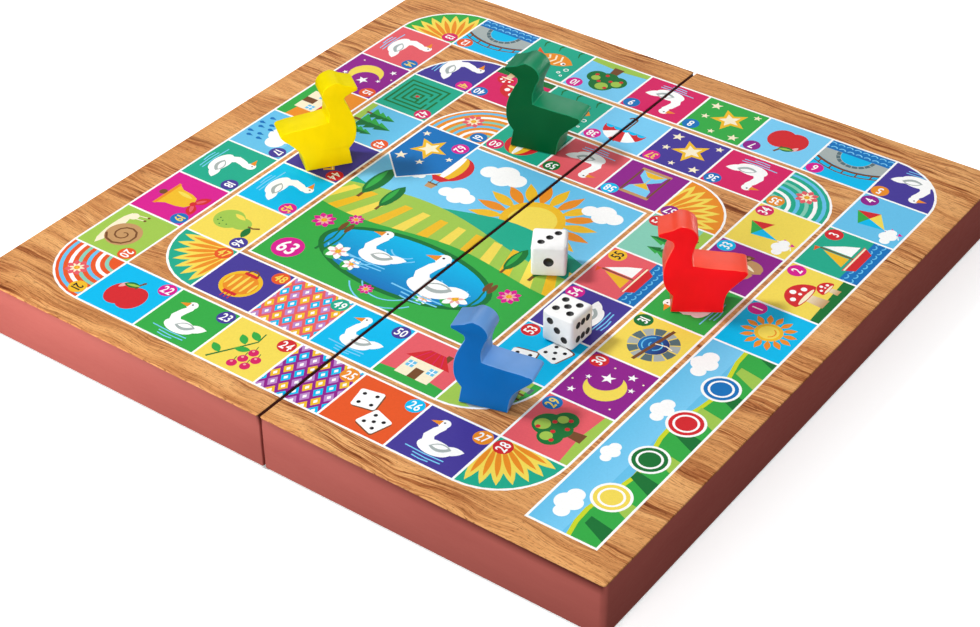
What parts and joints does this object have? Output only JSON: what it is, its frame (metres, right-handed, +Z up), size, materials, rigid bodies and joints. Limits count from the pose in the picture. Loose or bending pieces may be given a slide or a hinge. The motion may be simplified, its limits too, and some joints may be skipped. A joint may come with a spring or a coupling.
{
  "type": "game of the goose board",
  "caption": "Folding board for the game of the goose: hinged shallow trays with a printed spiral track on top, closing into a box for flat goose pawns and dice.",
  "frame": {"origin": "on the table, under the middle of the seam of the open board", "axes": "+X along the front edge to the right, +Y along the seam to the back, +Z up out of the playing side"},
  "size_m": [0.3, 0.3, 0.0679],
  "materials": {
    "wall_paint": "satin salmon red paint on wood board",
    "bare_board": "bare fibreboard",
    "print": "satin laminated print, wood grain ground with coloured cells",
    "brass": "polished brass",
    "nickel": "nickel plated",
    "yellow_paint": "yellow paint on wood",
    "green_paint": "green paint on wood",
    "red_paint": "red paint on wood",
    "blue_paint": "blue paint on wood",
    "die_white": "white plastic with black recessed pips"
  },
  "bodies": {
    "left_half": {"left_front_wall": "wall_paint", "left_back_wall": "wall_paint", "left_outer_wall": "wall_paint", "left_hinge_wall": "wall_paint", "left_top_panel": "bare_board", "left_print_sheet": "print", "left_front_magnet": "nickel", "left_back_magnet": "nickel", "front_hinge_left_leaf": "brass", "front_hinge_left_screw_1": "brass", "front_hinge_left_screw_2": "brass", "front_hinge_pin": "nickel", "back_hinge_left_leaf": "brass", "back_hinge_left_screw_1": "brass", "back_hinge_left_screw_2": "brass", "back_hinge_pin": "nickel"},
    "right_half": {"right_front_wall": "wall_paint", "right_back_wall": "wall_paint", "right_outer_wall": "wall_paint", "right_hinge_wall": "wall_paint", "right_top_panel": "bare_board", "right_print_sheet": "print", "right_front_magnet": "nickel", "right_back_magnet": "nickel", "front_hinge_right_leaf": "brass", "front_hinge_right_screw_1": "brass", "front_hinge_right_screw_2": "brass", "back_hinge_right_leaf": "brass", "back_hinge_right_screw_1": "brass", "back_hinge_right_screw_2": "brass"},
    "yellow_pawn": {"yellow_goose": "yellow_paint"},
    "green_pawn": {"green_goose": "green_paint"},
    "red_pawn": {"red_goose": "red_paint"},
    "blue_pawn": {"blue_goose": "blue_paint"},
    "back_die": {"back_die": "die_white"},
    "front_die": {"front_die": "die_white"}
  },
  "joints": [
    {"name": "board_fold", "type": "hinge", "parent": "left_half", "child": "right_half", "pos_m": [0, 0, 0.001], "axis": [0, 1, 0], "range_deg": [0, 180]},
    {"name": "yellow_goose_lift", "type": "slide", "parent": "left_half", "child": "yellow_pawn", "axis": [0, 0, 1], "range_m": [0, 0.06]},
    {"name": "green_goose_lift", "type": "slide", "parent": "left_half", "child": "green_pawn", "axis": [0, 0, 1], "range_m": [0, 0.06]},
    {"name": "red_goose_lift", "type": "slide", "parent": "right_half", "child": "red_pawn", "axis": [0, 0, 1], "range_m": [0, 0.06]},
    {"name": "blue_goose_lift", "type": "slide", "parent": "right_half", "child": "blue_pawn", "axis": [0, 0, 1], "range_m": [0, 0.06]},
    {"name": "back_die_lift", "type": "slide", "parent": "right_half", "child": "back_die", "axis": [0, 0, 1], "range_m": [0, 0.06]},
    {"name": "front_die_lift", "type": "slide", "parent": "right_half", "child": "front_die", "axis": [0, 0, 1], "range_m": [0, 0.06]}
  ]
}
